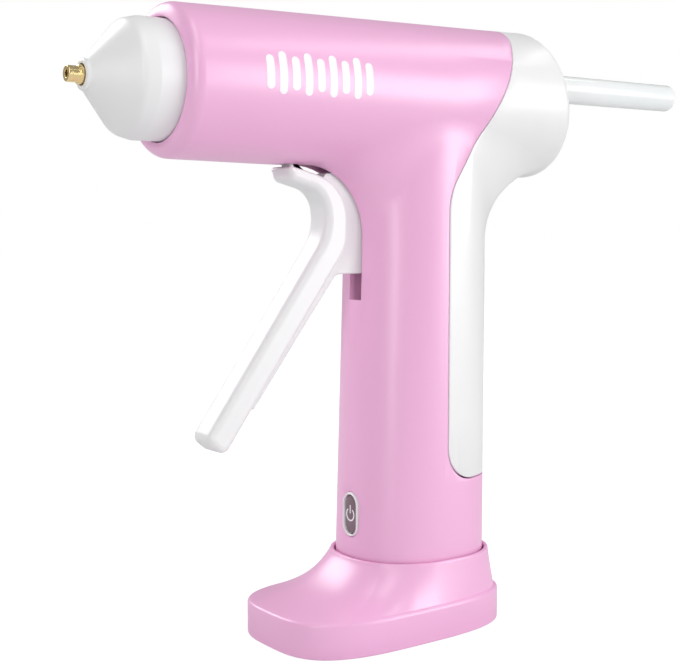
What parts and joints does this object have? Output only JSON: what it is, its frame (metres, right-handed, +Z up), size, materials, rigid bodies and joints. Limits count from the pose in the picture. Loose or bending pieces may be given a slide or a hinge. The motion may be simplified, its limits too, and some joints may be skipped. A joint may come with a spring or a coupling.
{
  "type": "glue gun",
  "caption": "Cordless hot-glue gun, pistol shaped with a round barrel, swinging trigger and brass nozzle, holding a glue stick and standing upright in a boot-shaped weighted base.",
  "frame": {"origin": "middle of the handle's foot print, on the surface that the base stands on", "axes": "+X forward, towards the nozzle; +Y the gun's left; +Z up"},
  "size_m": [0.1766, 0.0388, 0.1423],
  "materials": {
    "pink_plastic": "satin, moulded",
    "white_plastic": "satin, moulded",
    "brass": "turned",
    "aluminium": "die cast",
    "steel": "plain",
    "ceramic": "matt",
    "silicone": "satin",
    "rubber": "matt",
    "board": "solder mask",
    "cell_sleeve": "shrink sleeve",
    "clear_glue": "translucent",
    "smoked_window": "polished, tinted",
    "grey_nylon": "moulded",
    "fuse_body": "matt",
    "red_sleeve": "wire sleeve",
    "black_sleeve": "wire sleeve"
  },
  "bodies": {
    "base": {"base_shell": "pink_plastic", "base_foot_pad": "rubber", "base_plate": "pink_plastic", "base_weight": "steel", "base_screw_front": "steel", "base_screw_rear": "steel"},
    "gun": {"battery_cell": "cell_sleeve", "battery_cradle": "grey_nylon", "battery_tab_bottom": "steel", "battery_tab_top": "steel", "battery_wire_minus": "black_sleeve", "battery_wire_plus": "red_sleeve", "button_bezel": "white_plastic", "charge_board": "board", "cover_screw": "steel", "feed_frame": "grey_nylon", "handle_foot_cap": "pink_plastic", "heat_ring_front": "ceramic", "heat_ring_rear": "ceramic", "heater_clip": "steel", "heater_wire_left": "red_sleeve", "heater_wire_right": "black_sleeve", "inlet_bush": "grey_nylon", "inlet_sleeve": "silicone", "main_board": "board", "main_housing": "pink_plastic", "melt_chamber": "aluminium", "nose_cone": "white_plastic", "nozzle_tip": "brass", "power_switch": "grey_nylon", "ptc_heater": "ceramic", "rear_cover": "white_plastic", "return_spring": "steel", "sleeve_clamp": "steel", "status_led": "smoked_window", "thermal_fuse": "fuse_body", "trigger_pin": "steel", "usb_socket": "steel"},
    "trigger": {"trigger": "white_plastic", "drive_pin": "steel"},
    "carriage": {"pusher_carriage": "grey_nylon", "jaw_pin": "steel"},
    "jaw": {"grip_jaw": "steel"},
    "button": {"button_cap": "smoked_window"},
    "stick": {"glue_stick": "clear_glue"}
  },
  "joints": [
    {"name": "gun_lift", "type": "slide", "parent": "base", "child": "gun", "axis": [0, 0, 1], "range_m": [0, 0.12]},
    {"name": "trigger_pull", "type": "hinge", "parent": "gun", "child": "trigger", "pos_m": [0.0325, 0, 0.1108], "axis": [0, 1, 0], "range_deg": [0, 12.6], "stiffness_Nm_per_rad": 0.8, "springref_deg": -5.73},
    {"name": "carriage_feed", "type": "slide", "parent": "gun", "child": "carriage", "axis": [1, 0, 0], "range_m": [0, 0.0027], "deforming": ["return_spring"]},
    {"name": "jaw_grip", "type": "hinge", "parent": "carriage", "child": "jaw", "pos_m": [0.012, 0, 0.1204], "axis": [0, -1, 0], "range_deg": [0, 3]},
    {"name": "button_press", "type": "slide", "parent": "gun", "child": "button", "axis": [-1, 0, 0], "range_m": [0, 0.0005], "stiffness_N_per_m": 400, "springref_m": -0.0005},
    {"name": "stick_slide", "type": "slide", "parent": "gun", "child": "stick", "axis": [1, 0, 0], "range_m": [-0.14, 0.009]}
  ],
  "couplings": [
    {"joint": "carriage_feed", "follows": "trigger_pull", "m_per_rad": 0.0114},
    {"joint": "jaw_grip", "follows": "trigger_pull", "ratio": 0.227}
  ]
}
